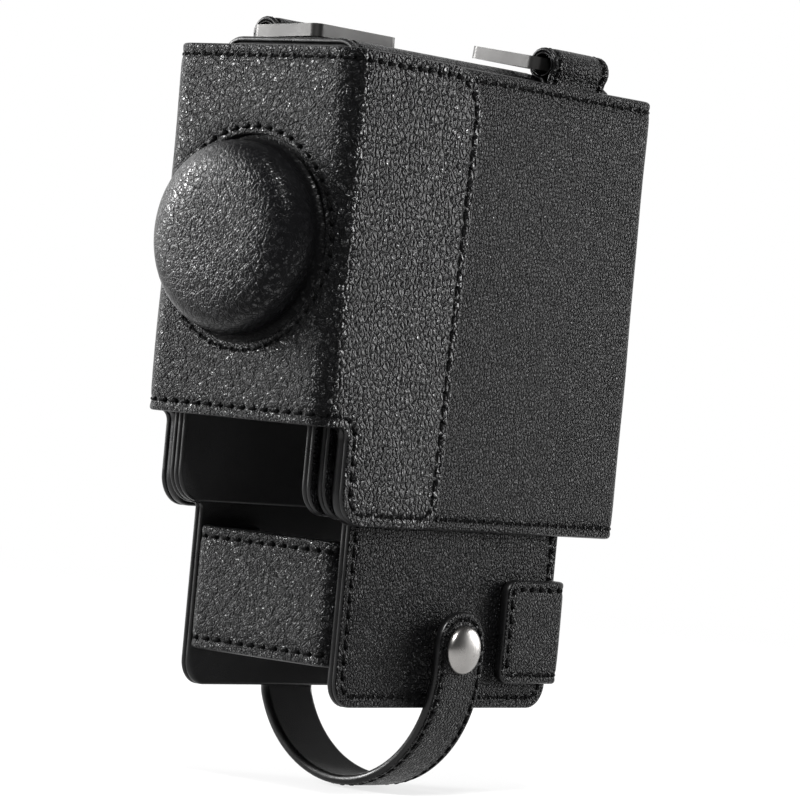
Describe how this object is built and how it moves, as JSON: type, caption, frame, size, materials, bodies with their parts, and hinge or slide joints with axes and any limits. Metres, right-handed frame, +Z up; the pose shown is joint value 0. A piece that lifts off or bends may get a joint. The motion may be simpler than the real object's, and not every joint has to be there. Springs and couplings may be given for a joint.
{
  "type": "camera case",
  "caption": "Black leather ever ready case: lined cover sleeve with moulded lens cup, sliding off an inner holster with rings, bands and snap strap.",
  "frame": {"origin": "midway between the hinge lines of the two strap rings, at the height of those hinge lines, on the case's centre plane", "axes": "+Z up towards the neck strap, -Y towards the lens cup at the front, +X towards the press stud's side"},
  "size_m": [0.0693, 0.1475, 0.2102],
  "materials": {
    "leather": "satin",
    "lining": "matte",
    "board": "matte",
    "ring_nickel": "satin",
    "dark_nickel": "satin",
    "snap_metal": "satin"
  },
  "bodies": {
    "holster": {"side_panel_left": "leather", "side_panel_right": "leather", "side_lining_left": "lining", "side_lining_right": "lining", "saddle": "leather", "saddle_lining": "lining", "front_band": "leather", "front_band_lining": "lining", "rear_band": "leather", "rear_band_lining": "lining", "strap_loop_left": "leather", "strap_loop_right": "leather", "bottom_strap": "leather", "bottom_strap_lining": "lining", "snap_stud": "snap_metal", "snap_stud_eyelet": "snap_metal"},
    "cover": {"cover_front": "leather", "cover_front_board": "board", "cover_back": "leather", "cover_lining": "lining", "lens_cup": "leather", "lens_cup_lining": "lining"},
    "strap_end": {"strap_end": "leather", "strap_end_lining": "lining", "snap_cap": "dark_nickel", "snap_socket": "snap_metal"},
    "ring_left": {"strap_ring_left": "ring_nickel"},
    "ring_right": {"strap_ring_right": "ring_nickel"}
  },
  "joints": [
    {"name": "cover_slide", "type": "slide", "parent": "holster", "child": "cover", "axis": [0, 0, 1], "range_m": [0, 0.14]},
    {"name": "strap_open", "type": "hinge", "parent": "holster", "child": "strap_end", "pos_m": [0.03267, -0.0034, -0.1759], "axis": [0, 1, 0], "range_deg": [0, 160]},
    {"name": "ring_left_swing", "type": "hinge", "parent": "holster", "child": "ring_left", "pos_m": [-0.02365, -0.0318, 0], "axis": [0, -1, 0], "range_deg": [0, 91]},
    {"name": "ring_right_swing", "type": "hinge", "parent": "holster", "child": "ring_right", "pos_m": [0.02365, 0.0318, 0], "axis": [0, 1, 0], "range_deg": [0, 86.5]}
  ]
}
